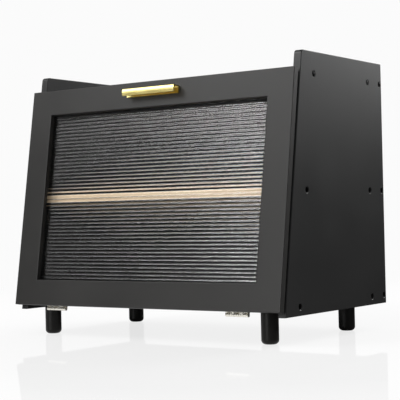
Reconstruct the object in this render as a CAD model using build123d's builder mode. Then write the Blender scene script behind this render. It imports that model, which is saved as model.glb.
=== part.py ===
from build123d import *
import math
import os

# A two-storey countertop bread box. Black boards make the case: two tall sides whose front edges
# lean back, a top, a bottom and a back, with a pale shelf halfway up. The front is one framed door
# that leans on the case and drops forward on two butt hinges at its foot. Its window is a sheet of
# clear acrylic with fine horizontal reeds. The sides and the back stand above the top, which makes
# the top a tray.
#
# Frame: +Z is up and z = 0 is the worktop, x = 0 is the middle, the front faces -Y, and y = 0 is
# halfway between the rear face and the foot of the door. All sizes are in millimetres.

# Case
overall_width = 400.0
side_height = 303.0
side_foot_depth = 244.5
side_head_depth = 196.5
side_corner_radius = 5.0
board = 10.0
edge_round = 0.8
ground_clearance = 32.0
bottom_rise = 5.5
lower_room_height = 122.0
tray_depth = 21.0
shelf_setback = 5.0
shelf_nose_radius = 2.0

# Air holes in the back, one group for each storey
vent_radius = 4.0
vent_pitch = 24.0
vents_across = 6
vent_drop = 24.0

# Countersunk screws through the sides
screw_length = 28.0
screw_shank_radius = 2.0
screw_head_radius = 3.5
screw_sink = 0.7
front_screw_setback = 31.0
rear_screw_inset = 37.0

# Legs, each on a threaded stud that turns into an insert in the bottom board. The rear ones stand
# a little wider apart.
leg_radius = 10.25
leg_toe_radius = 5.0
front_leg_side_inset = 34.7
rear_leg_side_inset = 31.8
front_leg_setback = 22.0
rear_leg_inset = 47.0
stud_radius = 3.0
stud_in_leg = 16.0
insert_radius = 5.0
insert_length = 8.0

# Door
door_gap = 4.0
door_thickness = 9.0
door_foot = 5.0
door_head_reveal = 1.0
stile_width = 34.2
top_rail = 32.6
bottom_rail = 32.0

# Reeded sheet in the rebate at the door's back
sheet_thickness = 3.0
sheet_lap = 8.0
sheet_clearance = 0.5
reed_pitch = 4.6
reed_height = 0.5

# Clips that hold the sheet
clip_thickness = 1.2
clip_width = 9.0
clip_reach = 5.0
clip_tail = 5.0
clip_screw_length = 7.0
clip_screw_shank_radius = 1.1
clip_screw_head_radius = 2.1
clip_screw_margin = 2.0
clip_end_inset = 60.0

# Butt hinges
hinge_width = 31.0
hinge_side_inset = 63.0
hinge_axis_drop = 3.2
knuckle_count = 5
knuckle_gap = 0.2
barrel_radius = 2.2
hinge_pin_radius = 1.1
leaf_thickness = 1.2
leaf_reach = 12.4
leaf_corner_radius = 2.0
hinge_screw_spacing = 18.0
hinge_screw_shank_radius = 1.2
hinge_screw_head_radius = 2.2
hinge_body_screw_length = 14.0
hinge_door_screw_length = 7.5

# Hooked finger pull
handle_length = 79.0
handle_height = 9.0
handle_reach = 12.0
handle_lip_bulge = 0.9
handle_wall = 1.7
handle_plate = 2.2
handle_edge_radius = 1.8
handle_inner_radius = 0.9
handle_above_window = 13.6
handle_screw_spacing = 50.0
handle_screw_radius = 1.7
handle_screw_head_radius = 3.2
handle_screw_head_height = 2.0

# Magnet pairs that hold the door shut
magnet_radius = 3.0
magnet_depth_in_case = 6.0
magnet_depth_in_door = 4.0
magnet_side_inset = 50.0

# Clearances
pin_clearance = 0.05
screw_clearance = 0.05
magnet_air = 0.1
leaf_notch_clearance = 0.35

# Levels, from the worktop up
sides_z = ground_clearance
sides_top_z = sides_z + side_height
bottom_z = sides_z + bottom_rise
shelf_z = bottom_z + board + lower_room_height
top_z = sides_top_z - tray_depth - board

# Slope of the front, and places from the rear to the front
half_width = overall_width / 2
inner_half_width = half_width - board
slope = math.atan2(side_foot_depth - side_head_depth, side_height)
door_reach = (door_gap + door_thickness) * math.cos(slope) - door_foot * math.sin(slope)
rear_y = (side_foot_depth + door_reach) / 2
front_foot_y = rear_y - side_foot_depth
front_head_y = rear_y - side_head_depth
boards_rear_y = rear_y - board

# The plane of the sides' front edges: x across, y up the slope, z out of the front
front_plane = Plane(
    origin=(0, front_foot_y, sides_z),
    x_dir=(1, 0, 0),
    z_dir=(0, -math.cos(slope), math.sin(slope)),
)
door_back_plane = front_plane.offset(door_gap)

# Places on the door, measured up the slope from the sides' feet
door_back_rise = door_gap * math.sin(slope)
door_head = (top_z + board - sides_z - door_back_rise) / math.cos(slope) - door_head_reveal
door_height = door_head - door_foot
door_middle = (door_head + door_foot) / 2
window_foot = door_foot + bottom_rail
window_head = door_head - top_rail
window_height = window_head - window_foot
window_width = overall_width - 2 * stile_width
window_middle = (window_head + window_foot) / 2
rebate_width = window_width + 2 * sheet_lap
rebate_height = window_height + 2 * sheet_lap
sheet_width = rebate_width - 2 * sheet_clearance
sheet_height = rebate_height - 2 * sheet_clearance
handle_foot = window_head + handle_above_window
magnet_rise = ((top_z - sides_z) / math.cos(slope) + door_head) / 2
hinge_axis = door_foot - hinge_axis_drop
hinge_screw_rise = (bottom_z + board / 2 - sides_z) / math.cos(slope)


def slope_y(z):
    """The y of the sides' front edges at height z."""
    return front_foot_y + (z - sides_z) * math.tan(slope)


def front_place(across, up, out, facing=1):
    """A plane parallel to the front, facing out of the box (1) or into it (-1)."""
    return Plane(
        origin=front_plane.from_local_coords((across, up, out)),
        x_dir=(1, 0, 0),
        z_dir=front_plane.z_dir * facing,
    )


# Screws. Each is drawn with its seat at the origin and its point down -Z.


def flat_head_screw(length, shank_radius, head_radius, sink=0.0):
    """A countersunk screw whose head lies `sink` under the surface it is driven into."""
    with BuildPart() as screw:
        with BuildSketch(Plane.XZ):
            with BuildLine():
                Polyline(
                    (0, -sink),
                    (head_radius, -sink),
                    (shank_radius, shank_radius - head_radius - sink),
                    (shank_radius, -length),
                    (0, -length),
                    close=True,
                )
            make_face()
        revolve(axis=Axis.Z)
    return screw.part


def drill_countersink(shank_radius, head_radius, depth, sink=0.0):
    """Cut the clearance hole and the right-angled seat of a flat_head_screw."""
    CounterSinkHole(
        radius=shank_radius + screw_clearance,
        counter_sink_radius=head_radius + sink + screw_clearance,
        counter_sink_angle=90,
        depth=depth,
    )


# Where the side screws go: two into each board, and one level with it into the back


def board_screw_points(level):
    """The (y, z) of the two screws into the board whose mid-height is `level`."""
    return [(slope_y(level) + front_screw_setback, level), (rear_y - rear_screw_inset, level)]


board_levels = [underside + board / 2 for underside in (bottom_z, shelf_z, top_z)]
back_screw_points = [(rear_y - board / 2, level) for level in board_levels]
side_screw_points = back_screw_points + [
    point for level in board_levels for point in board_screw_points(level)
]
right_seats = [Plane(origin=(half_width, y, z), z_dir=(1, 0, 0)) for y, z in side_screw_points]
left_seats = [Plane(origin=(-half_width, y, z), z_dir=(-1, 0, 0)) for y, z in side_screw_points]

panel_screw = flat_head_screw(screw_length, screw_shank_radius, screw_head_radius, screw_sink)

with BuildPart() as right_panel_screws:
    with Locations(*right_seats):
        add(panel_screw)

with BuildPart() as left_panel_screws:
    with Locations(*left_seats):
        add(panel_screw)


def drill_ends(points):
    """Cut screw holes into both ends of the board being made, at (y, z) points."""
    for sign in (1, -1):
        with Locations(
            *[Plane(origin=(sign * inner_half_width, y, z), z_dir=(sign, 0, 0)) for y, z in points]
        ):
            Hole(
                radius=screw_shank_radius + screw_clearance,
                depth=screw_length - board + screw_clearance,
            )


# Sides: upright rear edge, front edge leaning back, its upper corner rounded

with BuildPart() as right_side_panel:
    with BuildSketch(Plane.YZ.offset(inner_half_width)):
        with BuildLine():
            Polyline(
                (rear_y, sides_z),
                (rear_y, sides_top_z),
                (front_head_y, sides_top_z),
                (front_foot_y, sides_z),
                close=True,
            )
        make_face()
        fillet(vertices().group_by(Axis.Y)[-1].sort_by(Axis.X)[0], side_corner_radius)
    extrude(amount=board)
    fillet(faces().sort_by(Axis.X)[-1].edges(), edge_round)
    fillet(faces().sort_by(Axis.X)[0].edges(), edge_round)
    with Locations(*right_seats):
        drill_countersink(screw_shank_radius, screw_head_radius, board, screw_sink)

with BuildPart() as left_side_panel:
    mirror(right_side_panel.part, about=Plane.YZ)


# Boards between the sides, their front edges cut to the slope


def cross_board(underside, setback=0.0):
    """A board from side to side, from the back board to `setback` behind the sloping front."""
    upper_face = underside + board
    with BuildPart() as blank:
        with BuildSketch(Plane.YZ):
            with BuildLine():
                Polyline(
                    (boards_rear_y, underside),
                    (boards_rear_y, upper_face),
                    (slope_y(upper_face) + setback, upper_face),
                    (slope_y(underside) + setback, underside),
                    close=True,
                )
            make_face()
        extrude(amount=inner_half_width, both=True)
        drill_ends(board_screw_points(underside + board / 2))
    return blank.part


with BuildPart() as middle_shelf:
    add(cross_board(shelf_z, shelf_setback))
    fillet(edges().filter_by(Axis.X).sort_by(Axis.Y)[:2], shelf_nose_radius)

magnet_x = half_width - magnet_side_inset
magnet_offsets = [(-magnet_x, magnet_rise), (magnet_x, magnet_rise)]

with BuildPart() as top_panel:
    add(cross_board(top_z))
    with Locations(*[front_place(x, up, 0) for x, up in magnet_offsets]):
        Hole(radius=magnet_radius + screw_clearance, depth=magnet_depth_in_case)

front_leg_x = half_width - front_leg_side_inset
front_leg_y = front_foot_y + front_leg_setback
rear_leg_x = half_width - rear_leg_side_inset
rear_leg_y = rear_y - rear_leg_inset
leg_places = {
    "front_left_leg": (-front_leg_x, front_leg_y),
    "front_right_leg": (front_leg_x, front_leg_y),
    "rear_left_leg": (-rear_leg_x, rear_leg_y),
    "rear_right_leg": (rear_leg_x, rear_leg_y),
}

hinge_x = half_width - hinge_side_inset
hinge_centres = {"left": -hinge_x, "right": hinge_x}
hinge_screw_offsets = [
    (centre + sign * hinge_screw_spacing / 2, hinge_screw_rise)
    for centre in hinge_centres.values()
    for sign in (-1, 1)
]

with BuildPart() as bottom_panel:
    add(cross_board(bottom_z))
    with Locations(*[Plane(origin=(x, y, bottom_z), z_dir=(0, 0, -1)) for x, y in leg_places.values()]):
        Hole(radius=insert_radius + screw_clearance, depth=insert_length + screw_clearance)
    with Locations(*[front_place(x, up, 0) for x, up in hinge_screw_offsets]):
        Hole(
            radius=hinge_screw_shank_radius + screw_clearance,
            depth=hinge_body_screw_length - leaf_thickness + screw_clearance,
        )

with BuildPart() as back_panel:
    with BuildSketch(Plane.YZ):
        with Locations(((boards_rear_y + rear_y) / 2, (bottom_z + sides_top_z) / 2)):
            Rectangle(board, sides_top_z - bottom_z)
    extrude(amount=inner_half_width, both=True)
    fillet(edges().filter_by(Axis.X).group_by(Axis.Z)[-1], edge_round)
    drill_ends(back_screw_points)
    for room_top in (shelf_z, top_z):
        with Locations(
            Plane(origin=(0, rear_y, room_top - vent_drop), x_dir=(1, 0, 0), z_dir=(0, 1, 0))
        ):
            with GridLocations(vent_pitch, 0, vents_across, 1):
                Hole(radius=vent_radius, depth=board)


# Legs, with their studs and inserts

legs = {}
for leg_name, leg_place in leg_places.items():
    with BuildPart() as leg:
        with BuildSketch():
            with Locations(leg_place):
                Circle(leg_radius)
        extrude(amount=bottom_z)
        fillet(edges().group_by(Axis.Z)[0], leg_toe_radius)
        with Locations((*leg_place, bottom_z)):
            Hole(radius=stud_radius + screw_clearance, depth=stud_in_leg + screw_clearance)
    legs[leg_name] = leg

with BuildPart() as leg_studs:
    with BuildSketch(Plane.XY.offset(bottom_z - stud_in_leg)):
        with Locations(*leg_places.values()):
            Circle(stud_radius)
    extrude(amount=stud_in_leg + insert_length)

with BuildPart() as leg_inserts:
    with BuildSketch(Plane.XY.offset(bottom_z)):
        with Locations(*leg_places.values()):
            Circle(insert_radius)
            Circle(stud_radius + screw_clearance, mode=Mode.SUBTRACT)
    extrude(amount=insert_length)


# Butt hinges. A leaf is drawn about its pin: x along the pin, y up the slope, z out of the front,
# with z = 0 halfway across the gap between case and door.

knuckle_pitch = hinge_width / knuckle_count
leaf_notch = barrel_radius + leaf_notch_clearance
leaf_screw_offsets = [
    (sign * hinge_screw_spacing / 2, hinge_screw_rise - hinge_axis) for sign in (-1, 1)
]


def hinge_leaf(side, first_knuckle):
    """Half a hinge: side -1 lies on the case, side 1 on the door."""
    leaf_back = side * door_gap / 2
    leaf_face = leaf_back - side * leaf_thickness
    with BuildPart() as leaf:
        with BuildSketch(Plane.XY.offset(leaf_back)):
            with Locations((0, (leaf_notch + leaf_reach) / 2)):
                Rectangle(hinge_width, leaf_reach - leaf_notch)
            fillet(vertices().group_by(Axis.Y)[-1], leaf_corner_radius)
        extrude(amount=-side * leaf_thickness)
        for number in range(first_knuckle, knuckle_count, 2):
            knuckle_start = number * knuckle_pitch + knuckle_gap / 2 - hinge_width / 2
            with BuildSketch(Plane.YZ.offset(knuckle_start)):
                Circle(barrel_radius)
                with Locations((leaf_notch / 2, (leaf_back + leaf_face) / 2)):
                    Rectangle(leaf_notch, leaf_thickness)
            extrude(amount=knuckle_pitch - knuckle_gap)
        with BuildSketch(Plane.YZ.offset(-hinge_width / 2)):
            Circle(hinge_pin_radius + pin_clearance)
        extrude(amount=hinge_width, mode=Mode.SUBTRACT)
        with Locations(
            *[Plane(origin=(x, y, leaf_face), z_dir=(0, 0, -side)) for x, y in leaf_screw_offsets]
        ):
            drill_countersink(hinge_screw_shank_radius, hinge_screw_head_radius, leaf_thickness)
    return leaf.part


body_leaf = hinge_leaf(side=-1, first_knuckle=0)
door_leaf = hinge_leaf(side=1, first_knuckle=1)

hinges = {}
for side_name, centre in hinge_centres.items():
    pin_place = front_place(centre, hinge_axis, door_gap / 2)
    with BuildPart() as placed_body_leaf:
        with Locations(pin_place):
            add(body_leaf)
    with BuildPart() as placed_door_leaf:
        with Locations(pin_place):
            add(door_leaf)
    with BuildPart() as hinge_pin:
        pin_end = Plane(
            origin=pin_place.from_local_coords((-hinge_width / 2, 0, 0)),
            z_dir=(1, 0, 0),
        )
        with BuildSketch(pin_end):
            Circle(hinge_pin_radius)
        extrude(amount=hinge_width)
    hinges[f"{side_name}_hinge_body_leaf"] = placed_body_leaf
    hinges[f"{side_name}_hinge_door_leaf"] = placed_door_leaf
    hinges[f"{side_name}_hinge_pin"] = hinge_pin

with BuildPart() as hinge_body_screws:
    with Locations(*[front_place(x, up, leaf_thickness) for x, up in hinge_screw_offsets]):
        add(
            flat_head_screw(
                hinge_body_screw_length, hinge_screw_shank_radius, hinge_screw_head_radius
            )
        )

with BuildPart() as hinge_door_screws:
    with Locations(
        *[front_place(x, up, door_gap - leaf_thickness, -1) for x, up in hinge_screw_offsets]
    ):
        add(
            flat_head_screw(
                hinge_door_screw_length, hinge_screw_shank_radius, hinge_screw_head_radius
            )
        )


# Clips above and below the sheet, each drawn with its screw at the origin, +Y towards the sheet and
# +Z into the box

clip_screw_gap = clip_screw_head_radius + clip_screw_margin
clip_length = clip_tail + clip_screw_gap + clip_reach
clip_rise = rebate_height / 2 + clip_screw_gap
clip_x = rebate_width / 2 - clip_end_inset


def clip_place(across, side):
    """Where a clip lies on the door's back: above the sheet (side 1) or below it (side -1)."""
    inward = front_plane.z_dir * -1
    return Plane(
        origin=front_plane.from_local_coords((across, window_middle + side * clip_rise, door_gap)),
        x_dir=(front_plane.y_dir * -side).cross(inward),
        z_dir=inward,
    )


clip_places = [clip_place(across, side) for side in (-1, 1) for across in (-clip_x, clip_x)]

with BuildPart() as clip:
    with BuildSketch():
        with Locations((0, clip_length / 2 - clip_tail)):
            Rectangle(clip_width, clip_length)
        fillet(vertices().group_by(Axis.Y)[0], clip_width / 2 - edge_round)
    extrude(amount=clip_thickness)
    with Locations((0, 0, clip_thickness)):
        drill_countersink(clip_screw_shank_radius, clip_screw_head_radius, clip_thickness)

with BuildPart() as window_clips:
    with Locations(*clip_places):
        add(clip.part)

with BuildPart() as window_clip_screws:
    with Locations(*[place.offset(clip_thickness) for place in clip_places]):
        add(flat_head_screw(clip_screw_length, clip_screw_shank_radius, clip_screw_head_radius))


# Door: one board with a window, rebated at the back for the sheet

out_of_front = Axis(front_plane.origin, front_plane.z_dir)
handle_screw_offsets = [
    (sign * handle_screw_spacing / 2, handle_foot + handle_height / 2) for sign in (-1, 1)
]

with BuildPart() as door_frame:
    with BuildSketch(door_back_plane):
        with Locations((0, door_middle)):
            Rectangle(overall_width, door_height)
        with Locations((0, window_middle)):
            Rectangle(window_width, window_height, mode=Mode.SUBTRACT)
    extrude(amount=door_thickness)
    fillet(faces().sort_by(out_of_front)[-1].edges(), edge_round)
    fillet(faces().sort_by(out_of_front)[0].outer_wire().edges(), edge_round)
    with BuildSketch(door_back_plane):
        with Locations((0, window_middle)):
            Rectangle(rebate_width, rebate_height)
    extrude(amount=sheet_thickness, mode=Mode.SUBTRACT)
    with Locations(*[front_place(x, up, door_gap, -1) for x, up in hinge_screw_offsets]):
        Hole(
            radius=hinge_screw_shank_radius + screw_clearance,
            depth=hinge_door_screw_length - leaf_thickness + screw_clearance,
        )
    with Locations(*clip_places):
        Hole(
            radius=clip_screw_shank_radius + screw_clearance,
            depth=clip_screw_length - clip_thickness + screw_clearance,
        )
    with Locations(*[front_place(x, up, door_gap, -1) for x, up in magnet_offsets]):
        Hole(
            radius=magnet_radius + screw_clearance,
            depth=magnet_depth_in_door,
        )
    with Locations(*[front_place(x, up, door_gap, -1) for x, up in handle_screw_offsets]):
        Hole(radius=handle_screw_radius + screw_clearance, depth=door_thickness)


# Reeded sheet: flat at the back, a row of low arches up the front

reed_count = int(sheet_height // reed_pitch)
sheet_plane = Plane(
    origin=front_plane.from_local_coords((0, window_middle - sheet_height / 2, door_gap)),
    x_dir=front_plane.y_dir,
    z_dir=(1, 0, 0),
)
flat_thickness = sheet_thickness - reed_height
reeds_start = (sheet_height - reed_count * reed_pitch) / 2
reeds_end = sheet_height - reeds_start

with BuildPart() as window_panel:
    with BuildSketch(sheet_plane):
        with BuildLine():
            Polyline(
                (reeds_end, flat_thickness),
                (sheet_height, flat_thickness),
                (sheet_height, 0),
                (0, 0),
                (0, flat_thickness),
                (reeds_start, flat_thickness),
            )
            for number in range(reed_count):
                valley = reeds_start + number * reed_pitch
                ThreePointArc(
                    (valley, flat_thickness),
                    (valley + reed_pitch / 2, sheet_thickness),
                    (valley + reed_pitch, flat_thickness),
                )
        make_face()
    extrude(amount=sheet_width / 2, both=True)


# Handle: an extruded hook, open below, with a slightly crowned lip

handle_plane = Plane(
    origin=front_plane.from_local_coords((0, handle_foot, door_gap + door_thickness)),
    x_dir=front_plane.y_dir,
    z_dir=(1, 0, 0),
)
lip_shoulder = handle_reach - handle_lip_bulge
throat_height = handle_height - handle_wall

with BuildPart() as handle:
    with BuildSketch(handle_plane):
        with BuildLine():
            Polyline((0, lip_shoulder), (0, 0), (handle_height, 0), (handle_height, lip_shoulder))
            ThreePointArc(
                (handle_height, lip_shoulder),
                (handle_height / 2, handle_reach),
                (0, lip_shoulder),
            )
        make_face()
        fillet(vertices().sort_by(Axis((0, 0, 0), (1, 1, 0)))[-1], handle_edge_radius)
    extrude(amount=handle_length / 2, both=True)
    with BuildSketch(handle_plane):
        with BuildLine():
            Polyline(
                (0, lip_shoulder - handle_wall),
                (0, handle_plate),
                (throat_height, handle_plate),
                (throat_height, lip_shoulder - handle_wall),
            )
            ThreePointArc(
                (throat_height, lip_shoulder - handle_wall),
                (throat_height / 2, handle_reach - handle_wall),
                (0, lip_shoulder - handle_wall),
            )
        make_face()
        fillet(vertices().group_by(Axis.X)[-1], handle_inner_radius)
    extrude(amount=handle_length / 2, both=True, mode=Mode.SUBTRACT)
    with Locations(
        *[front_place(x, up, door_gap + door_thickness) for x, up in handle_screw_offsets]
    ):
        Hole(radius=handle_screw_radius + screw_clearance, depth=handle_plate)

with BuildPart() as handle_screw:
    with BuildSketch():
        Circle(handle_screw_head_radius)
    extrude(amount=handle_screw_head_height)
    with BuildSketch():
        Circle(handle_screw_radius)
    extrude(amount=-(door_thickness + handle_plate))

with BuildPart() as handle_screws:
    with Locations(*[front_place(x, up, door_gap, -1) for x, up in handle_screw_offsets]):
        add(handle_screw.part)


# Magnets: those of the case and of the door meet in the middle of the gap

magnet_proud = (door_gap - magnet_air) / 2

with BuildPart() as cabinet_magnets:
    with BuildSketch(*[front_place(x, up, -magnet_depth_in_case) for x, up in magnet_offsets]):
        Circle(magnet_radius)
    extrude(amount=magnet_depth_in_case + magnet_proud)

with BuildPart() as door_magnets:
    with BuildSketch(
        *[front_place(x, up, door_gap + magnet_depth_in_door, -1) for x, up in magnet_offsets]
    ):
        Circle(magnet_radius)
    extrude(amount=magnet_depth_in_door + magnet_proud)


pieces = {
    "left_side_panel": left_side_panel,
    "right_side_panel": right_side_panel,
    "top_panel": top_panel,
    "middle_shelf": middle_shelf,
    "bottom_panel": bottom_panel,
    "back_panel": back_panel,
    "left_panel_screws": left_panel_screws,
    "right_panel_screws": right_panel_screws,
    **legs,
    "leg_studs": leg_studs,
    "leg_inserts": leg_inserts,
    **hinges,
    "hinge_body_screws": hinge_body_screws,
    "hinge_door_screws": hinge_door_screws,
    "cabinet_magnets": cabinet_magnets,
    "door_magnets": door_magnets,
    "door_frame": door_frame,
    "window_panel": window_panel,
    "window_clips": window_clips,
    "window_clip_screws": window_clip_screws,
    "handle": handle,
    "handle_screws": handle_screws,
}

os.makedirs("parts", exist_ok=True)
for name, piece in pieces.items():
    piece.part.label = name
    export_step(piece.part, f"parts/{name}.step")

hinge_point = front_plane.from_local_coords((0, hinge_axis, door_gap / 2))
print("pieces", len(pieces))
print("slope in degrees", round(math.degrees(slope), 3))
print("hinge axis y, z", round(hinge_point.Y, 4), round(hinge_point.Z, 4))
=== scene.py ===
# %% [markdown]
# # A two-storey bread box, dressed for its portrait
#
# The bread box is five black boards, a pale shelf, four turned legs and one leaning door with a
# reeded window. Its boards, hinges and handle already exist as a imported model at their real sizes.
# This lesson leaves those pieces where they are and gives each a finish. It makes anew only the
# pieces whose fine form shows up close: the reeded sheet and the screws.

import math

import bmesh
import bpy
from mathutils import Matrix, Vector


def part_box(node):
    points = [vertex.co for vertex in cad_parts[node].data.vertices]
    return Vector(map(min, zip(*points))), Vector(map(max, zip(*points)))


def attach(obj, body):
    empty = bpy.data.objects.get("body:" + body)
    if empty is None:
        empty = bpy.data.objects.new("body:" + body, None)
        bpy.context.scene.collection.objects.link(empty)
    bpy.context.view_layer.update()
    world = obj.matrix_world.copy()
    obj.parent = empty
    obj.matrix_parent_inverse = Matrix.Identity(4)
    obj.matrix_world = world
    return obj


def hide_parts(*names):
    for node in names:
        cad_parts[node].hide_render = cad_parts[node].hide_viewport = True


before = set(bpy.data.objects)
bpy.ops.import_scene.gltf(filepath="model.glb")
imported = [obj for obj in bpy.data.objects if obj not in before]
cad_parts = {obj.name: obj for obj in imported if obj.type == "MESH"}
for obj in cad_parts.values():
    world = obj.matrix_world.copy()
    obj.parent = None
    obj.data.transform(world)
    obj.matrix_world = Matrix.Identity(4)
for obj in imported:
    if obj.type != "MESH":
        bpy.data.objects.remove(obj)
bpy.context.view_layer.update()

# %% [markdown]
# ## Measuring the leaning front
#
# The door leans back by about nine degrees, so "up the door" and "out of the door" are not the
# world's axes. They could be typed in, but then they would be wrong as soon as the box changes. So
# they are read from the door: most of its forward-facing surface looks one way, and that way is
# "out". Everything on the door is then placed by three distances: across, up and out.

# %% Axes of the front
MM = 0.001
FORWARD = -0.5


def widest_facing(node_name):
    """The direction in which most of a node's forward-facing surface looks."""
    areas = {}
    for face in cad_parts[node_name].data.polygons:
        if face.normal.y < FORWARD:
            direction = tuple(round(part, 4) for part in face.normal)
            areas[direction] = areas.get(direction, 0) + face.area
    return Vector(max(areas, key=areas.get)).normalized()


out_of_front = widest_facing("door_frame")
across_front = Vector((1, 0, 0))
up_front = out_of_front.cross(across_front)
front_axes = Matrix((across_front, up_front, out_of_front)).transposed().to_4x4()


def along_front(vertex):
    """Where a vertex is along the front's axes: its across, up and out."""
    return front_axes.transposed() @ vertex.co


def span(points):
    """The lowest and the highest corner of the box around some points."""
    lowest = Vector([min(point[axis] for point in points) for axis in range(3)])
    highest = Vector([max(point[axis] for point in points) for axis in range(3)])
    return lowest, highest


print("lean in degrees", round(math.degrees(math.asin(out_of_front.z)), 3))

# %% [markdown]
# ## Helpers for node trees
#
# Finishes and growing pieces are both drawn as trees of nodes. Adding a node, setting its sockets
# and linking it takes a line each by hand, so one helper does all three: a value that is itself a
# socket is linked, and any other value is set. The smaller helpers take up what repeats: sums,
# vectors and choices between two values in any tree, and for a finish a place on the piece, a noise
# there, a range or a tint that the noise picks from, and a relief.

# %% Node helpers


def add_node(tree, kind, inputs=None, **settings):
    """Add a node, apply its settings, and set or link its input sockets."""
    made = tree.nodes.new(kind)
    for name, value in settings.items():
        setattr(made, name, value)
    for key, value in (inputs or {}).items():
        if isinstance(value, bpy.types.NodeSocket):
            tree.links.new(value, made.inputs[key])
        else:
            made.inputs[key].default_value = value
    return made


def maths(tree, operation, *values):
    """One Math node's result. Shader trees and geometry trees both take it."""
    made = add_node(tree, "ShaderNodeMath", dict(enumerate(values)), operation=operation)
    return made.outputs["Value"]


def square(tree, value):
    """A value times itself."""
    return maths(tree, "MULTIPLY", value, value)


def vector_of(tree, **parts):
    """A vector from its X, Y and Z. A part that isn't given is zero."""
    return add_node(tree, "ShaderNodeCombineXYZ", parts).outputs["Vector"]


def parts_of(tree, vector):
    """The sockets X, Y and Z of a vector."""
    return add_node(tree, "ShaderNodeSeparateXYZ", {"Vector": vector}).outputs


def choose(tree, share, first, second):
    """The first value where share is 0, the second where it is 1."""
    made = add_node(tree, "ShaderNodeMix", {0: share, 2: first, 3: second}, data_type="FLOAT")
    return made.outputs[0]


def mix_shaders(tree, share, first, second):
    """The first shader where share is 0, the second where it is 1."""
    made = add_node(tree, "ShaderNodeMixShader", {0: share, 1: first, 2: second})
    return made.outputs["Shader"]


def is_reflected(tree, rays):
    """1 for rays that a shiny or a clear surface has sent on, 0 for all others."""
    return maths(tree, "MAXIMUM", rays["Is Glossy Ray"], rays["Is Transmission Ray"])


def start_finish(name, **constants):
    """A material with one Principled shader. The constants go straight onto its sockets."""
    finish = bpy.data.materials.new(name)
    finish.use_nodes = True
    shader = finish.node_tree.nodes["Principled BSDF"]
    for socket_name, value in constants.items():
        shader.inputs[socket_name.replace("_", " ")].default_value = value
    return finish, finish.node_tree, shader


def object_place(tree, scale=(1, 1, 1)):
    """Object coordinates, squeezed by scale, so that a pattern stays on the piece."""
    place = add_node(tree, "ShaderNodeTexCoord").outputs["Object"]
    mapping = add_node(tree, "ShaderNodeMapping", {"Vector": place, "Scale": scale})
    return mapping.outputs["Vector"]


def noise(tree, place, scale, detail=2.0, roughness=0.5):
    """A noise pattern of about one feature in 1/scale metres."""
    made = add_node(
        tree,
        "ShaderNodeTexNoise",
        {"Vector": place, "Scale": scale, "Detail": detail, "Roughness": roughness},
    )
    return made.outputs["Fac"]


def spread(tree, value, low, high, start=0.3, end=0.7):
    """Map a pattern's middle range onto low..high."""
    made = add_node(
        tree,
        "ShaderNodeMapRange",
        {"Value": value, "From Min": start, "From Max": end, "To Min": low, "To Max": high},
    )
    return made.outputs["Result"]


def tint(tree, value, dark, light, start=0.3, end=0.7):
    """A colour between dark and light, chosen by a pattern."""
    ramp = add_node(tree, "ShaderNodeValToRGB", {"Fac": value})
    first, last = ramp.color_ramp.elements
    first.position = start
    first.color = (*dark, 1)
    last.position = end
    last.color = (*light, 1)
    return ramp.outputs["Color"]


def feed(tree, shader, **values):
    """Link values to a shader's sockets."""
    for socket_name, value in values.items():
        tree.links.new(value, shader.inputs[socket_name.replace("_", " ")])


def relief(tree, shader, height, depth, under=None):
    """Raise a pattern by `depth` metres on a shader, over an earlier relief if there is one."""
    inputs = {"Height": height, "Distance": depth, "Strength": 1.0}
    if under is not None:
        inputs["Normal"] = under
    bump = add_node(tree, "ShaderNodeBump", inputs)
    feed(tree, shader, Normal=bump.outputs["Normal"])
    return bump.outputs["Normal"]


trial_tree = bpy.data.node_groups.new("trial", "ShaderNodeTree")
maths(trial_tree, "ADD", 1.0, maths(trial_tree, "SINE", 0.5))
print("a trial tree has", len(trial_tree.nodes), "nodes and", len(trial_tree.links), "link")
bpy.data.node_groups.remove(trial_tree)

# %% [markdown]
# ## Satin black paint
#
# The boards are wood fibre under a sprayed satin black. A sprayed coat is never quite flat: it has
# an orange-peel ripple about a millimetre across, its shine drifts over a hand's width, and the
# board's grain telegraphs through as long faint strokes. A picture could hold all that, but noise
# does it without a seam and at any size. The colour hardly changes; the shine and the relief do
# the work, because on black the eye reads the highlights.

# %% Paint for the case and the door
DRIFTS_PER_METRE = 14.0
RIPPLES_PER_METRE = 900.0
UPRIGHT_STROKES = (260, 260, 9)
STROKES_ACROSS = (9, 260, 260)
CASE_BLACK, CASE_ROUGHNESS = (0.012, 0.012, 0.012), 0.38
DOOR_BLACK, DOOR_ROUGHNESS = (0.014, 0.0135, 0.0125), 0.42


def satin_paint(name, colour, roughness, stroke_scale):
    """Satin black paint. stroke_scale stretches the wood's strokes along the board."""
    finish, tree, shader = start_finish(name, IOR=1.46, Specular_IOR_Level=0.5)
    drift = noise(tree, object_place(tree), DRIFTS_PER_METRE, detail=3.0)
    strokes = noise(tree, object_place(tree, scale=stroke_scale), 1.0, detail=4.0, roughness=0.6)
    peel = noise(tree, object_place(tree), RIPPLES_PER_METRE)
    darker = tuple(0.86 * part for part in colour)
    lighter = tuple(1.12 * part for part in colour)
    drifting = spread(tree, drift, roughness - 0.02, roughness + 0.02)
    rough = maths(tree, "ADD", drifting, spread(tree, strokes, -0.008, 0.008))
    feed(tree, shader, Base_Color=tint(tree, drift, darker, lighter), Roughness=rough)
    grain_relief = relief(tree, shader, strokes, 0.006 * MM)
    relief(tree, shader, peel, 0.008 * MM, under=grain_relief)
    return finish


case_paint = satin_paint("case_paint", CASE_BLACK, CASE_ROUGHNESS, UPRIGHT_STROKES)
deck_paint = satin_paint("deck_paint", CASE_BLACK, CASE_ROUGHNESS, STROKES_ACROSS)
door_paint = satin_paint("door_paint", DOOR_BLACK, DOOR_ROUGHNESS, STROKES_ACROSS)
print("paints", case_paint.name, deck_paint.name, door_paint.name)

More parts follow.
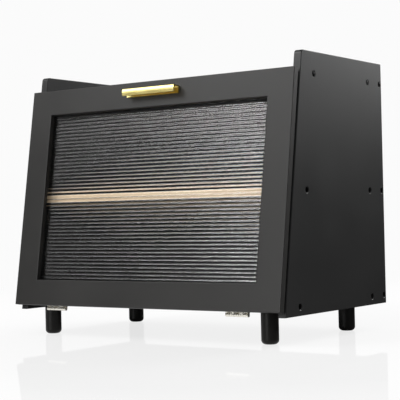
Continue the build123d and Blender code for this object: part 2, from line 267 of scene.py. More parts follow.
# %% [markdown]
# ## Pale laminated shelf
#
# The shelf is the only piece left in its own colour: narrow pale strips glued side by side under a
# clear lacquer. Each strip is a little lighter or darker than its neighbour, and the grain inside
# it runs the length of the shelf. A brick pattern could draw the strips, but stepping the depth
# coordinate and feeding the step to white noise gives each strip its own shade in three nodes.

# %% Shelf wood
STRIP_WIDTH = 22 * MM
GRAIN_SCALE = (6, 420, 420)
FIBRE_SCALE = (40, 2400, 2400)


def shelf_wood(name):
    """Pale strips glued side by side, their grain along X."""
    finish, tree, shader = start_finish(name, IOR=1.5, Specular_IOR_Level=0.3)
    depth = parts_of(tree, object_place(tree))["Y"]
    strip = maths(tree, "FLOOR", maths(tree, "MULTIPLY", depth, 1 / STRIP_WIDTH))
    shade = add_node(tree, "ShaderNodeTexWhiteNoise", {"W": strip}, noise_dimensions="1D")
    grain = noise(tree, object_place(tree, scale=GRAIN_SCALE), 1.0, detail=5.0, roughness=0.6)
    fibre = noise(tree, object_place(tree, scale=FIBRE_SCALE), 1.0, detail=2.0)
    strip_shade = spread(tree, shade.outputs["Value"], -0.12, 0.12, start=0, end=1)
    shifted = maths(tree, "ADD", strip_shade, grain)
    colour = tint(tree, shifted, (0.74, 0.54, 0.34), (0.90, 0.71, 0.49), 0.25, 0.72)
    feed(tree, shader, Base_Color=colour, Roughness=spread(tree, grain, 0.38, 0.52))
    grain_relief = relief(tree, shader, grain, 0.06 * MM)
    relief(tree, shader, fibre, 0.015 * MM, under=grain_relief)
    return finish


shelf_finish = shelf_wood("shelf_wood")
shelf_low, shelf_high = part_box("middle_shelf")
print("shelf strips", round((shelf_high.y - shelf_low.y) / STRIP_WIDTH, 1))

# %% [markdown]
# ## Turned legs
#
# The legs are dowels turned on a lathe and dipped in black lacquer. The lathe leaves rings so fine
# that they only comb the highlight. They are a sine of the height, which costs one node, broken up
# with noise so that they do not look machine-perfect.

# %% Leg lacquer
RING_SPACING = 0.9 * MM
WANDERS_PER_METRE = 120.0


def turned_lacquer(name):
    """Black lacquer over fine turning rings."""
    finish, tree, shader = start_finish(name, IOR=1.45, Specular_IOR_Level=0.2)
    height = parts_of(tree, object_place(tree))["Z"]
    wander = noise(tree, object_place(tree), WANDERS_PER_METRE)
    turns = maths(tree, "MULTIPLY_ADD", height, 2 * math.pi / RING_SPACING, wander)
    colour = tint(tree, wander, (0.005, 0.005, 0.0045), (0.008, 0.0075, 0.007))
    feed(tree, shader, Base_Color=colour, Roughness=spread(tree, wander, 0.28, 0.38))
    relief(tree, shader, maths(tree, "SINE", turns), 0.003 * MM)
    return finish


leg_finish = turned_lacquer("leg_lacquer")
leg_low, leg_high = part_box("front_left_leg")
print("turning rings on a leg", round((leg_high.z - leg_low.z) / RING_SPACING))

# %% [markdown]
# ## Metals
#
# The metals share one recipe: a metallic shader whose roughness follows long fine scratches. What
# tells them apart is the colour, the shine and the way the scratches run. The handle is brushed
# along its length, so its highlight stretches across; the nickel of the hinges is tumbled and has
# no direction.

# %% Metal finishes
SMUDGES_PER_METRE = 60.0
ALONG_HANDLE = (8, 1800, 1800)


def metal(name, dark, light, roughness, scratch_scale, depth):
    """A metal whose scratches are stretched by scratch_scale."""
    finish, tree, shader = start_finish(name, Metallic=1.0)
    place = object_place(tree, scale=scratch_scale)
    scratches = noise(tree, place, 1.0, detail=4.0, roughness=0.65)
    smudges = noise(tree, object_place(tree), SMUDGES_PER_METRE)
    scratched = spread(tree, scratches, roughness - 0.06, roughness + 0.08)
    rough = maths(tree, "ADD", scratched, spread(tree, smudges, -0.03, 0.03))
    feed(tree, shader, Base_Color=tint(tree, smudges, dark, light), Roughness=rough)
    relief(tree, shader, scratches, depth)
    return finish


handle_gold = metal(
    "brushed_gold", (0.95, 0.79, 0.29), (0.98, 0.83, 0.34), 0.33, ALONG_HANDLE, 0.0001 * MM
)
hinge_nickel = metal(
    "tumbled_nickel", (0.82, 0.79, 0.70), (0.90, 0.87, 0.79), 0.26, (700, 700, 700), 0.001 * MM
)
magnet_nickel = metal(
    "plated_magnet", (0.66, 0.66, 0.64), (0.78, 0.78, 0.76), 0.18, (400, 400, 400), 0.002 * MM
)
zinc_steel = metal(
    "zinc_steel", (0.50, 0.51, 0.52), (0.66, 0.66, 0.65), 0.34, (900, 900, 900), 0.004 * MM
)
screw_black = metal(
    "black_oxide", (0.004, 0.004, 0.004), (0.009, 0.009, 0.009), 0.15, (900, 900, 900), 0.001 * MM
)
metals = (handle_gold, hinge_nickel, magnet_nickel, zinc_steel, screw_black)
print("metals", [finish.name for finish in metals])

# %% [markdown]
# ## Moulded clips
#
# The clips that hold the sheet in its rebate are seen only when the door is open. They are black
# moulded plastic with the fine texture of the mould, which one small noise gives.

# %% Clip plastic
GRAINS_PER_METRE = 2600.0


def moulded_plastic(name):
    """Black plastic with a fine grained surface."""
    finish, tree, shader = start_finish(name, IOR=1.5)
    grains = noise(tree, object_place(tree), GRAINS_PER_METRE)
    colour = tint(tree, grains, (0.012, 0.012, 0.012), (0.022, 0.022, 0.022))
    feed(tree, shader, Base_Color=colour, Roughness=spread(tree, grains, 0.45, 0.6))
    relief(tree, shader, grains, 0.02 * MM)
    return finish


clip_finish = moulded_plastic("clip_plastic")
print("clip finish", clip_finish.name, "nodes", len(clip_finish.node_tree.nodes))

# %% [markdown]
# ## Clear acrylic
#
# The sheet is clear: its look comes from its reeds, each a lens that squeezes the inside of the box
# into a stripe and catches the lamps in a thin line. Glass that bends light also blocks the lamps
# from what stands behind it, so an empty box would render black inside. Shadow rays and diffuse
# rays therefore meet a transparent shader instead, and light falls through the window as in life.

# %% Acrylic
RIPPLE_SCALE = (12, 60, 60)


def clear_acrylic(name):
    """Clear moulded acrylic that lets lamps shine through."""
    finish, tree, shader = start_finish(name, IOR=1.49, Transmission_Weight=1.0)
    ripple = noise(tree, object_place(tree, scale=RIPPLE_SCALE), 1.0)
    colour = tint(tree, ripple, (0.90, 0.91, 0.915), (0.96, 0.965, 0.97))
    feed(tree, shader, Base_Color=colour, Roughness=spread(tree, ripple, 0.05, 0.08))
    relief(tree, shader, ripple, 0.001 * MM)
    rays = add_node(tree, "ShaderNodeLightPath").outputs
    clear = add_node(tree, "ShaderNodeBsdfTransparent", {"Color": (0.92, 0.92, 0.92, 1)})
    open_to = maths(tree, "MAXIMUM", rays["Is Shadow Ray"], rays["Is Diffuse Ray"])
    surface = mix_shaders(tree, open_to, shader.outputs["BSDF"], clear.outputs["BSDF"])
    tree.links.new(surface, tree.nodes["Material Output"].inputs["Surface"])
    return finish


acrylic = clear_acrylic("reeded_acrylic")
print("window finish", acrylic.name, "nodes", len(acrylic.node_tree.nodes))

# %% [markdown]
# ## Handing out the finishes
#
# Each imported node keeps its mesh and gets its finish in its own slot. Boards whose grain runs
# upright take the case paint, boards whose grain runs across take the deck paint.

# %% Finishes by piece
finish_of = {
    "left_side_panel": case_paint,
    "right_side_panel": case_paint,
    "top_panel": deck_paint,
    "bottom_panel": deck_paint,
    "back_panel": deck_paint,
    "door_frame": door_paint,
    "middle_shelf": shelf_finish,
    "front_left_leg": leg_finish,
    "front_right_leg": leg_finish,
    "rear_left_leg": leg_finish,
    "rear_right_leg": leg_finish,
    "leg_studs": zinc_steel,
    "leg_inserts": zinc_steel,
    "left_hinge_body_leaf": hinge_nickel,
    "right_hinge_body_leaf": hinge_nickel,
    "left_hinge_door_leaf": hinge_nickel,
    "right_hinge_door_leaf": hinge_nickel,
    "left_hinge_pin": hinge_nickel,
    "right_hinge_pin": hinge_nickel,
    "cabinet_magnets": magnet_nickel,
    "door_magnets": magnet_nickel,
    "window_clips": clip_finish,
    "handle": handle_gold,
    "handle_screws": zinc_steel,
}
for node_name, finish in finish_of.items():
    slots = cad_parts[node_name].data.materials
    slots.clear()
    slots.append(finish)
print("finished nodes", len(finish_of))

# %% [markdown]
# ## Growing repeated pieces
#
# Screws and reeds repeat, so Geometry Nodes draw them: one tree holds the rule, and its named
# inputs hold the sizes. The tree is run once on a carrier mesh, its result is kept as a plain mesh
# in the carrier's place, and the modifier is taken off again, so that what is left is an ordinary
# piece that can ride on a body.

# %% Running a tree


def start_tree(name, sizes):
    """A geometry tree with named inputs. sizes maps each name to (socket kind, first value)."""
    tree = bpy.data.node_groups.new(name, "GeometryNodeTree")
    tree.interface.new_socket("Geometry", in_out="INPUT", socket_type="NodeSocketGeometry")
    tree.interface.new_socket("Geometry", in_out="OUTPUT", socket_type="NodeSocketGeometry")
    for size_name, (kind, value) in sizes.items():
        socket_type = "NodeSocket" + kind
        socket = tree.interface.new_socket(size_name, in_out="INPUT", socket_type=socket_type)
        if value is not None:
            socket.default_value = value
    given = tree.nodes.new("NodeGroupInput")
    return tree, given.outputs


def end_tree(tree, geometry, finish_socket):
    """Realize what was instanced, give it its finish and send it out."""
    real = add_node(tree, "GeometryNodeRealizeInstances", {"Geometry": geometry})
    finished = add_node(
        tree,
        "GeometryNodeSetMaterial",
        {"Geometry": real.outputs["Geometry"], "Material": finish_socket},
    )
    result = tree.nodes.new("NodeGroupOutput")
    tree.links.new(finished.outputs["Geometry"], result.inputs["Geometry"])
    return tree


def grow(name, tree, values, points=()):
    """Run a tree on a mesh of points and keep the plain mesh that it makes."""
    carrier_mesh = bpy.data.meshes.new(name)
    carrier_mesh.from_pydata([tuple(point) for point in points], [], [])
    piece = bpy.data.objects.new(name, carrier_mesh)
    bpy.context.scene.collection.objects.link(piece)
    modifier = piece.modifiers.new("grow", "NODES")
    modifier.node_group = tree
    for item in tree.interface.items_tree:
        if item.item_type == "SOCKET" and item.in_out == "INPUT" and item.name in values:
            modifier[item.identifier] = values[item.name]
    depsgraph = bpy.context.evaluated_depsgraph_get()
    grown = bpy.data.meshes.new_from_object(piece.evaluated_get(depsgraph))
    piece.modifiers.remove(modifier)
    piece.data = grown
    print(name, "faces", len(grown.polygons))
    return piece


def sharp_by_angle(tree, mesh, degrees):
    """Smooth shading everywhere except along edges that turn by more than this."""
    smooth = add_node(tree, "GeometryNodeSetShadeSmooth", {"Geometry": mesh, "Shade Smooth": True})
    turn = tree.nodes.new("GeometryNodeInputMeshEdgeAngle")
    sharp = add_node(
        tree,
        "FunctionNodeCompare",
        {0: turn.outputs["Unsigned Angle"], 1: math.radians(degrees)},
        operation="GREATER_THAN",
    )
    creased = add_node(
        tree,
        "GeometryNodeSetShadeSmooth",
        {
            "Geometry": smooth.outputs["Geometry"],
            "Selection": sharp.outputs["Result"],
            "Shade Smooth": False,
        },
        domain="EDGE",
    )
    return creased.outputs["Geometry"]


print("helpers ready:", start_tree.__name__, end_tree.__name__, grow.__name__)

# %% [markdown]
# ## The reeded sheet
#
# Seen from its end, the sheet is a closed outline: a flat back, two short flat margins and a row of
# circular arches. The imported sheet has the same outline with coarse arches. A lens needs finer
# ones, because light bends by the slope of each facet. The outline could be typed as points, but it
# follows a rule, so each vertex of a line reads its own number, works out which reed it is on and
# how far along, and lifts itself onto the arch. Sweeping that outline across the door makes the
# sheet.

# %% Reeded sheet tree
REED_PITCH = 4.6 * MM
REED_HEIGHT = 0.5 * MM
FACETS_PER_REED = 14
CORNERS = 4
REED_CREASE_DEGREES = 30


def reed_arch(tree, given, number, margin):
    """The x and y of a vertex that lies on an arch, from its number along the outline."""
    pitch, rise = given["Pitch"], given["Reed height"]
    along = maths(tree, "DIVIDE", number, given["Facets per reed"])
    arch_x = maths(tree, "MULTIPLY_ADD", along, pitch, margin)
    half = maths(tree, "DIVIDE", pitch, 2.0)
    squares = maths(tree, "ADD", square(tree, half), square(tree, rise))
    radius = maths(tree, "DIVIDE", squares, maths(tree, "MULTIPLY", rise, 2.0))
    into_reed = maths(tree, "MULTIPLY", maths(tree, "FRACT", along), pitch)
    from_crown = maths(tree, "SUBTRACT", into_reed, half)
    reach_squared = maths(tree, "SUBTRACT", square(tree, radius), square(tree, from_crown))
    centre = maths(tree, "SUBTRACT", given["Thickness"], radius)
    arch_y = maths(tree, "ADD", centre, maths(tree, "SQRT", reach_squared))
    return arch_x, arch_y


def sheet_corner_place(tree, given, corner):
    """The x and y of corner 1 (top front), 2 (top back), 3 (foot back) or 4 (foot front)."""
    middle = (1 + CORNERS) / 2
    at_top = maths(tree, "LESS_THAN", corner, middle)
    from_middle = maths(tree, "ABSOLUTE", maths(tree, "SUBTRACT", corner, middle))
    in_front = maths(tree, "GREATER_THAN", from_middle, 1.0)
    flat_thickness = maths(tree, "SUBTRACT", given["Thickness"], given["Reed height"])
    corner_x = maths(tree, "MULTIPLY", at_top, given["Height"])
    corner_y = maths(tree, "MULTIPLY", in_front, flat_thickness)
    return corner_x, corner_y


def reeded_sheet_tree():
    """A sheet with a row of arches, its outline in XY and its width along Z."""
    tree, given = start_tree(
        "reeded sheet",
        {
            "Width": ("Float", 0.3),
            "Height": ("Float", 0.2),
            "Thickness": ("Float", 3 * MM),
            "Pitch": ("Float", REED_PITCH),
            "Reed height": ("Float", REED_HEIGHT),
            "Reeds": ("Int", 40),
            "Facets per reed": ("Int", FACETS_PER_REED),
            "Finish": ("Material", None),
        },
    )
    # The arches take one vertex more than they have facets. The corners come after them.
    facets = maths(tree, "MULTIPLY", given["Reeds"], given["Facets per reed"])
    count = maths(tree, "ADD", facets, 1.0 + CORNERS)
    line = add_node(tree, "GeometryNodeMeshLine", {"Count": count})
    number = tree.nodes.new("GeometryNodeInputIndex").outputs["Index"]
    corner = maths(tree, "SUBTRACT", number, facets)
    is_corner = maths(tree, "GREATER_THAN", corner, 0.5)

    used = maths(tree, "MULTIPLY", given["Reeds"], given["Pitch"])
    margin = maths(tree, "DIVIDE", maths(tree, "SUBTRACT", given["Height"], used), 2.0)
    arch_x, arch_y = reed_arch(tree, given, number, margin)
    corner_x, corner_y = sheet_corner_place(tree, given, corner)
    point = vector_of(
        tree,
        X=choose(tree, is_corner, arch_x, corner_x),
        Y=choose(tree, is_corner, arch_y, corner_y),
    )
    outline = add_node(
        tree, "GeometryNodeSetPosition", {"Geometry": line.outputs["Mesh"], "Position": point}
    )
    spline = add_node(tree, "GeometryNodeMeshToCurve", {"Mesh": outline.outputs["Geometry"]})
    closed = add_node(
        tree, "GeometryNodeSetSplineCyclic", {"Geometry": spline.outputs["Curve"], "Cyclic": True}
    )

    half_width = maths(tree, "DIVIDE", given["Width"], 2.0)
    start = vector_of(tree, Z=maths(tree, "MULTIPLY", half_width, -1.0))
    end = vector_of(tree, Z=half_width)
    path = add_node(tree, "GeometryNodeCurvePrimitiveLine", {"Start": start, "End": end})
    swept = add_node(
        tree,
        "GeometryNodeCurveToMesh",
        {
            "Curve": path.outputs["Curve"],
            "Profile Curve": closed.outputs["Geometry"],
            "Fill Caps": True,
        },
    )
    creased = sharp_by_angle(tree, swept.outputs["Mesh"], REED_CREASE_DEGREES)
    return end_tree(tree, creased, given["Finish"])


packed_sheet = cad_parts["window_panel"].data
sheet_low, sheet_high = span([along_front(vertex) for vertex in packed_sheet.vertices])
print("sheet across, up, out in mm", [round(part / MM, 2) for part in sheet_high - sheet_low])

# %% [markdown]
# ## Standing the sheet on the door
#
# The tree draws the outline lying down: its X is the sheet's height, its Y the thickness and its Z
# the width. A matrix with those three directions as columns stands it up on the leaning door. Its
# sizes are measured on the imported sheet, so that it fills the same rebate.

# %% Reeded sheet
sheet_size = sheet_high - sheet_low
reeds = int(sheet_size.y // REED_PITCH)
window_sheet = grow(
    "reeded_window",
    reeded_sheet_tree(),
    {
        "Width": sheet_size.x,
        "Height": sheet_size.y,
        "Thickness": sheet_size.z,
        "Reeds": reeds,
        "Finish": acrylic,
    },
)
sheet_axes = Matrix((up_front, out_of_front, across_front)).transposed().to_4x4()
sheet_middle = (sheet_low.x + sheet_high.x) / 2
sheet_foot = front_axes @ Vector((sheet_middle, sheet_low.y, sheet_low.z))
window_sheet.data.transform(Matrix.Translation(sheet_foot) @ sheet_axes)


def face_outwards(mesh):
    """Turn every face of a closed mesh outwards."""
    shell = bmesh.new()
    shell.from_mesh(mesh)
    bmesh.ops.recalc_face_normals(shell, faces=shell.faces)
    shell.to_mesh(mesh)
    shell.free()


face_outwards(window_sheet.data)
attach(window_sheet, "door")
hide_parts("window_panel")

# %% [markdown]
# ## Screws
#
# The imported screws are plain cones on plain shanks, which is enough to hold their place. Up close a
# screw has a slightly crowned head and a cross cut into it, and no two crosses stand at the same
# angle, because each screw stops where it is tight. So one tree makes the screw, cuts the cross,
# and sets a copy on every seat with its own seeded turn.

# %% Screw tree
HEAD_SIDES = 32
SHANK_SIDES = 16
CROWN_RINGS = 4
SCREW_CREASE_DEGREES = 35


def countersunk_head(tree, given, head_depth):
    """A cone with its wide end up at z = 0, raised into a low crown."""
    cone = add_node(
        tree,
        "GeometryNodeMeshCone",
        {
            "Vertices": HEAD_SIDES,
            "Fill Segments": CROWN_RINGS,
            "Radius Top": given["Head radius"],
            "Radius Bottom": given["Shank radius"],
            "Depth": head_depth,
        },
        fill_type="TRIANGLE_FAN",
    )
    sunk = vector_of(tree, Z=maths(tree, "MULTIPLY", head_depth, -1.0))
    head = add_node(
        tree,
        "GeometryNodeTransform",
        {"Geometry": cone.outputs["Mesh"], "Translation": sunk},
    )
    place = parts_of(tree, tree.nodes.new("GeometryNodeInputPosition").outputs["Position"])
    squares = maths(tree, "ADD", square(tree, place["X"]), square(tree, place["Y"]))
    outward = maths(tree, "DIVIDE", squares, square(tree, given["Head radius"]))
    share = maths(tree, "SUBTRACT", 1.0, outward)
    lift = vector_of(tree, Z=maths(tree, "MULTIPLY", given["Crown"], share))
    crowned = add_node(
        tree,
        "GeometryNodeSetPosition",
        {"Geometry": head.outputs["Geometry"], "Selection": cone.outputs["Top"], "Offset": lift},
    )
    return crowned.outputs["Geometry"]


def cut_cross(tree, given, head):
    """Cut two crossed slots into a head."""
    blades = add_node(tree, "GeometryNodeJoinGeometry")
    twice_deep = maths(tree, "MULTIPLY", given["Cross depth"], 2.0)
    for along, across in (("Cross length", "Cross width"), ("Cross width", "Cross length")):
        blade_size = vector_of(tree, X=given[along], Y=given[across], Z=twice_deep)
        blade = add_node(tree, "GeometryNodeMeshCube", {"Size": blade_size})
        tree.links.new(blade.outputs["Mesh"], blades.inputs["Geometry"])
    cut = add_node(
        tree,
        "GeometryNodeMeshBoolean",
        {"Mesh 1": head, "Mesh 2": blades.outputs["Geometry"], "Self Intersection": True},
        operation="DIFFERENCE",
        solver="EXACT",
    )
    return cut.outputs["Mesh"]


def shank_below(tree, given, head_depth):
    """The plain cylinder under the head."""
    shank_length = maths(tree, "SUBTRACT", given["Length"], head_depth)
    shank = add_node(
        tree,
        "GeometryNodeMeshCylinder",
        {"Vertices": SHANK_SIDES, "Radius": given["Shank radius"], "Depth": shank_length},
    )
    half_shank = maths(tree, "DIVIDE", shank_length, 2.0)
    middle = maths(tree, "MULTIPLY", maths(tree, "ADD", head_depth, half_shank), -1.0)
    lowered = add_node(
        tree,
        "GeometryNodeTransform",
        {"Geometry": shank.outputs["Mesh"], "Translation": vector_of(tree, Z=middle)},
    )
    return lowered.outputs["Geometry"]


def seeded_turn(tree, given):
    """Stand a screw along Facing, then turn it about itself by a random angle."""
    stand = add_node(
        tree, "FunctionNodeAlignRotationToVector", {"Vector": given["Facing"]}, axis="Z"
    )
    angle = add_node(
        tree,
        "FunctionNodeRandomValue",
        {2: 0.0, 3: math.pi, "Seed": given["Seed"]},
        data_type="FLOAT",
    )
    twist = add_node(
        tree, "FunctionNodeAxisAngleToRotation", {"Axis": (0, 0, 1), "Angle": angle.outputs[1]}
    )
    turned = add_node(
        tree,
        "FunctionNodeRotateRotation",
        {"Rotation": stand.outputs["Rotation"], "Rotate By": twist.outputs["Rotation"]},
        rotation_space="LOCAL",
    )
    return turned.outputs["Rotation"]


def screw_tree():
    """Crowned, cross-cut countersunk screws on every point, their heads looking along Facing."""
    tree, given = start_tree(
        "cross screws",
        {
            "Head radius": ("Float", 3.5 * MM),
            "Shank radius": ("Float", 2 * MM),
            "Length": ("Float", 28 * MM),
            "Crown": ("Float", 0.2 * MM),
            "Cross length": ("Float", 3.8 * MM),
            "Cross width": ("Float", 0.9 * MM),
            "Cross depth": ("Float", 1.6 * MM),
            "Facing": ("Vector", (1, 0, 0)),
            "Seed": ("Int", 0),
            "Finish": ("Material", None),
        },
    )
    head_depth = maths(tree, "SUBTRACT", given["Head radius"], given["Shank radius"])
    head = cut_cross(tree, given, countersunk_head(tree, given, head_depth))
    screw = add_node(tree, "GeometryNodeJoinGeometry")
    tree.links.new(head, screw.inputs["Geometry"])
    tree.links.new(shank_below(tree, given, head_depth), screw.inputs["Geometry"])
    shaded = sharp_by_angle(tree, screw.outputs["Geometry"], SCREW_CREASE_DEGREES)
    placed = add_node(
        tree,
        "GeometryNodeInstanceOnPoints",
        {"Points": given["Geometry"], "Instance": shaded, "Rotation": seeded_turn(tree, given)},
    )
    return end_tree(tree, placed.outputs["Instances"], given["Finish"])


cross_screws = screw_tree()
print("screw tree nodes", len(cross_screws.nodes))

# %% [markdown]
# ## Where the screws sit
#
# The seats could be typed in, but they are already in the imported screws, so they are read from
# there. A node holds several separate screws, so its mesh is merged in a copy and walked from
# vertex to vertex, and each island of it is one screw. The middle of the island's outer end is the
# middle of the screw's head.

# %% Seats
ACROSS, UP, OUT = range(3)
MERGE_DISTANCE = 0.001 * MM


def islands(node_name):
    """The separate solids in a node, each as its points along the front's axes."""
    merged = bmesh.new()
    merged.from_mesh(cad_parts[node_name].data)
    bmesh.ops.remove_doubles(merged, verts=merged.verts, dist=MERGE_DISTANCE)
    waiting = set(merged.verts)
    found = []
    while waiting:
        to_visit = [waiting.pop()]
        island = []
        while to_visit:
            vertex = to_visit.pop()
            island.append(along_front(vertex))
            for link in vertex.link_edges:
                neighbour = link.other_vert(vertex)
                if neighbour in waiting:
                    waiting.remove(neighbour)
                    to_visit.append(neighbour)
        found.append(island)
    merged.free()
    return found


def seats(node_name, axis, sign):
    """The middle of each screw's head: its end along one of the front's axes."""
    places = []
    for island in islands(node_name):
        lowest, highest = span(island)
        head = (lowest + highest) / 2
        head[axis] = highest[axis] if sign > 0 else lowest[axis]
        places.append(front_axes @ head)
    return sorted(places, key=lambda place: tuple(round(part, 5) for part in place))


print("screws in the left side", len(seats("left_panel_screws", ACROSS, -1)))

# %% [markdown]
# ## Setting the screws
#
# Three kinds of screw hold the box: black ones through the sides, nickel ones in the hinges and
# small zinc ones in the clips. They could be three trees, but they are one kind of thing in several
# sizes, so the same tree is run five times with other values. Each line of the table is one run: a
# name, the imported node, the body it rides on, the way its screws face, a slot, sizes and a seed.

# %% Side screws, hinge screws and clip screws
small_cross = {
    "Crown": 0.12 * MM,
    "Cross length": 2.3 * MM,
    "Cross width": 0.5 * MM,
    "Cross depth": 0.9 * MM,
}
side_screw = {"Finish": screw_black}
hinge_screw = {
    **small_cross,
    "Head radius": 2.2 * MM,
    "Shank radius": 1.2 * MM,
    "Finish": hinge_nickel,
}
case_screw = {**hinge_screw, "Length": 14 * MM}
leaf_screw = {**hinge_screw, "Length": 7.5 * MM}
clip_screw = {
    **small_cross,
    "Head radius": 2.1 * MM,
    "Shank radius": 1.1 * MM,
    "Length": 7 * MM,
    "Finish": zinc_steel,
}


def set_screws(name, node_name, body, axis, sign, slot, sizes, seed):
    """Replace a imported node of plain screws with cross-cut ones."""
    values = {**sizes, "Facing": sign * (across_front, up_front, out_of_front)[axis], "Seed": seed}
    piece = grow(name, cross_screws, values, seats(node_name, axis, sign))
    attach(piece, body)
    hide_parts(node_name)


screw_sets = (
    ("left_side_screws", "left_panel_screws", "cabinet", ACROSS, -1, "panel_screw", side_screw, 2),
    ("right_side_screws", "right_panel_screws", "cabinet", ACROSS, 1, "panel_screw", side_screw, 4),
    ("hinge_case_screws", "hinge_body_screws", "cabinet", OUT, 1, "hinge_nickel", case_screw, 7),
    ("hinge_leaf_screws", "hinge_door_screws", "door", OUT, -1, "hinge_nickel", leaf_screw, 8),
    ("clip_screws", "window_clip_screws", "door", OUT, -1, "stud_steel", clip_screw, 9),
)
for screw_set in screw_sets:
    set_screws(*screw_set)

# %% [markdown]
# ## Camera
#
# The camera stands where the photographer's did. Its place, its turn and its focal length were
# solved from the corners and the outline of the box, so that the picture can be laid over the
# photograph. They could be found by hand in the viewport, but a solve brings nine tenths of the
# outline within a pixel. A focal length in pixels becomes a lens in millimetres through the sensor.

# %% Camera
focal_pixels = 1207.25
picture_pixels = 400
sensor_width = 36.0
camera_place = Vector((899.75, -1256.5, 148.3)) * MM
yaw = math.radians(35.466)
pitch = math.radians(0.715)
roll = math.radians(-1.285)

camera_data = bpy.data.cameras.new("camera")
camera_data.sensor_width = sensor_width
camera_data.lens = focal_pixels * sensor_width / picture_pixels
camera_data.clip_end = 100
camera = bpy.data.objects.new("camera", camera_data)
bpy.context.scene.collection.objects.link(camera)
ahead = Vector((-math.sin(yaw), math.cos(yaw), 0)) * math.cos(pitch)
looking = ahead + Vector((0, 0, math.sin(pitch)))
level = Vector((math.cos(yaw), math.sin(yaw), 0))
upright = level.cross(looking)
camera_x = math.cos(roll) * level + math.sin(roll) * upright
camera_y = math.cos(roll) * upright - math.sin(roll) * level
camera_turn = Matrix((camera_x, camera_y, -looking)).transposed().to_4x4()
camera.matrix_world = Matrix.Translation(camera_place) @ camera_turn
bpy.context.scene.camera = camera
print("lens in mm", round(camera_data.lens, 2), "distance in m", round(camera_place.length, 3))

# %% [markdown]
# ## Floor and backdrop
#
# The box stands on a glossy white sheet in front of a white sweep. A real sheet under bright lamps
# would do, but then the lamps that whiten it would wash out the black box too. So the camera is
# shown plain white, with a share of a mirror and a share of a matt floor mixed in. The sheet stays
# white and still holds the box's faint reflection and shadow. Farther out the white takes over, so
# that no edge of the floor shows.
#
# Reflections see another floor: dusk, so that the black paint stays black, with one bright strip in
# front of the box. The nickel hinges hang under the door and mirror that strip, and without it they
# would look black.

# %% Floor
BACKDROP_WHITE = 0.965
FADE_START, FADE_END = 0.5, 1.1
DUSK, STRIP_WHITE = 0.08, 0.9


def bright_strip(tree):
    """How bright reflections see the floor: a strip in front of the box, dusk elsewhere."""
    place = parts_of(tree, object_place(tree))
    from_afar = spread(tree, place["Y"], 0.0, 1.0, start=-1.5, end=-0.9)
    up_to_legs = spread(tree, place["Y"], 1.0, 0.0, start=-0.1, end=0.0)
    up_to_side = spread(tree, place["X"], 1.0, 0.0, start=0.16, end=0.26)
    in_strip = maths(tree, "MULTIPLY", maths(tree, "MULTIPLY", from_afar, up_to_side), up_to_legs)
    return spread(tree, in_strip, DUSK, STRIP_WHITE, start=0.0, end=1.0)


def floor_finish(name):
    """White to the camera with a faint mirror and shadow, dusk and a strip to reflections."""
    finish, tree, shader = start_finish(name, Base_Color=(0.9, 0.9, 0.9, 1), Roughness=0.9)
    matt = shader.outputs["BSDF"]
    mirror = add_node(tree, "ShaderNodeBsdfGlossy", {"Color": (1, 1, 1, 1), "Roughness": 0.03})
    plain = add_node(tree, "ShaderNodeEmission", {"Color": (*[BACKDROP_WHITE] * 3, 1)})
    strip = add_node(
        tree, "ShaderNodeEmission", {"Color": (1, 1, 1, 1), "Strength": bright_strip(tree)}
    )
    length = add_node(tree, "ShaderNodeVectorMath", {0: object_place(tree)}, operation="LENGTH")
    distance = length.outputs["Value"]
    mirror_share = spread(tree, distance, 0.45, 0.0, FADE_START, FADE_END)
    white_share = spread(tree, distance, 0.78, 1.0, FADE_START, FADE_END)

    rays = add_node(tree, "ShaderNodeLightPath").outputs
    polished = mix_shaders(tree, mirror_share, matt, mirror.outputs["BSDF"])
    shown = mix_shaders(tree, white_share, polished, plain.outputs["Emission"])
    lit = mix_shaders(tree, rays["Is Camera Ray"], matt, shown)
    surface = mix_shaders(tree, is_reflected(tree, rays), lit, strip.outputs["Emission"])
    tree.links.new(surface, tree.nodes["Material Output"].inputs["Surface"])
    return finish


floor_reach = 6.0
floor_corners = [
    (x * floor_reach, y * floor_reach, 0) for x, y in ((-1, -1), (1, -1), (1, 1), (-1, 1))
]
floor_mesh = bpy.data.meshes.new("floor")
floor_mesh.from_pydata(floor_corners, [], [(0, 1, 2, 3)])
floor_mesh.materials.append(floor_finish("white_sheet"))
floor = bpy.data.objects.new("floor", floor_mesh)
bpy.context.scene.collection.objects.link(floor)
print("floor reaches", floor_reach, "m each way")

# %% [markdown]
# ## The room
#
# Black satin paint has almost no colour of its own, so what it shows is the room. The camera sees
# plain white, the same as the floor's, and soft light comes from all sides at a plain level.
# Reflections see a room in three parts: a ceiling that glows over the front and fades to the left
# and to the rear, one soft glow low in front that the right half of the door picks up, and a white
# card at the rear left. Where the floor is a mirror it shows the card, so that it stays white
# there. Each part is a range of directions, which a map range node cuts out of the world's.

# %% World
AMBIENT = 0.8
CARD_TOWARDS = (-0.577, 0.812, 0.09)
LOW_FRONT_TOWARDS = (-0.14, -0.97, 0.20)
LOW_FRONT_STRENGTH = 6.5


def glow(tree, direction, centre, strength, start, end):
    """A round glow in the world. start and end are the cosines of its outer and inner edge."""
    towards = add_node(
        tree, "ShaderNodeVectorMath", {0: direction, 1: centre}, operation="DOT_PRODUCT"
    )
    return spread(tree, towards.outputs["Value"], 0.0, strength, start, end)


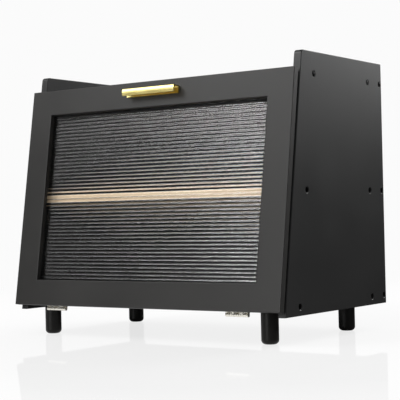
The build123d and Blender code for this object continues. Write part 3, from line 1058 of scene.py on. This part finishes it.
def reflected_room(tree):
    """The ceiling, the card and the low front glow, as reflections see them."""
    direction = add_node(tree, "ShaderNodeTexCoord").outputs["Generated"]
    towards = parts_of(tree, direction)
    height = spread(tree, towards["Z"], 0.12, 0.6, start=0.12, end=0.5)
    in_front = spread(tree, towards["Y"], 1.0, 0.12, start=-0.1, end=0.25)
    from_left = spread(tree, towards["X"], 0.1, 1.0, start=-0.78, end=-0.4)
    ceiling = maths(tree, "MULTIPLY", maths(tree, "MULTIPLY", height, in_front), from_left)
    card = glow(tree, direction, CARD_TOWARDS, BACKDROP_WHITE, 0.75, 0.93)
    low_front = glow(tree, direction, LOW_FRONT_TOWARDS, LOW_FRONT_STRENGTH, 0.945, 0.990)
    return maths(tree, "ADD", maths(tree, "MAXIMUM", card, ceiling), low_front)


def studio_world():
    """White to the camera, plain soft light to the piece, a room to reflections."""
    world = bpy.data.worlds.new("studio")
    world.use_nodes = True
    tree = world.node_tree
    tree.nodes.clear()
    rays = add_node(tree, "ShaderNodeLightPath").outputs
    strength = choose(tree, is_reflected(tree, rays), AMBIENT, reflected_room(tree))
    shown = choose(tree, rays["Is Camera Ray"], strength, BACKDROP_WHITE)
    light = add_node(tree, "ShaderNodeBackground", {"Color": (1, 1, 1, 1), "Strength": shown})
    result = tree.nodes.new("ShaderNodeOutputWorld")
    tree.links.new(light.outputs["Background"], result.inputs["Surface"])
    return world


bpy.context.scene.world = studio_world()
print("world nodes", len(bpy.context.scene.world.node_tree.nodes))

# %% [markdown]
# ## Lamps
#
# Two soft boxes light the box. The main one hangs high in front, to the left. Each reed of the
# window is a small arch that mirrors it as one bright line, so the lamp's height decides where on
# the reed the line sits. The lines are bright at the right end of the window and fade towards the
# left, so the lamp is graded: its strength is a power of how far across it a ray lands. A row of
# separate lamps could step down instead, but each line would break into dashes. The second box
# stands far behind to the right and gives the side panel its bright top edge. It is wide, because a
# small lamp of the same power would flash in the countersinks of the side screws.

# %% Lamps


def softbox(name, place, target, width, height, power):
    """A rectangular lamp at place, looking at target. Power is in watts."""
    data = bpy.data.lights.new(name, "AREA")
    data.shape = "RECTANGLE"
    data.size = width
    data.size_y = height
    data.energy = power
    lamp = bpy.data.objects.new(name, data)
    lamp.location = place
    lamp.rotation_mode = "QUATERNION"
    lamp.rotation_quaternion = (Vector(target) - Vector(place)).to_track_quat("-Z", "Y")
    lamp.visible_camera = False
    bpy.context.scene.collection.objects.link(lamp)
    return lamp


def grade(lamp, dim_end):
    """Fade a lamp across its width, from full at one end to dim_end at the other."""
    lamp.data.use_nodes = True
    tree = lamp.data.node_tree
    place = add_node(tree, "ShaderNodeNewGeometry").outputs["Parametric"]
    across = add_node(tree, "ShaderNodeSeparateXYZ", {"Vector": place}).outputs["X"]
    strength = maths(tree, "POWER", dim_end, maths(tree, "SUBTRACT", 1.0, across))
    tree.links.new(strength, tree.nodes["Emission"].inputs["Strength"])


high_front = softbox("high_front", (-1.05, -0.85, 1.38), (-0.12, -0.09, 0.22), 1.2, 0.9, 50)
grade(high_front, dim_end=0.035)
rear_right = softbox("rear_right", (0.8, 3.4, 2.0), (0.2, 0, 0.2), 1.9, 2.6, 102)
for lamp in (high_front, rear_right):
    print(lamp.name, "distance in m", round(lamp.location.length, 2), "watts", lamp.data.energy)

bpy.context.scene.view_settings.view_transform = "Standard"
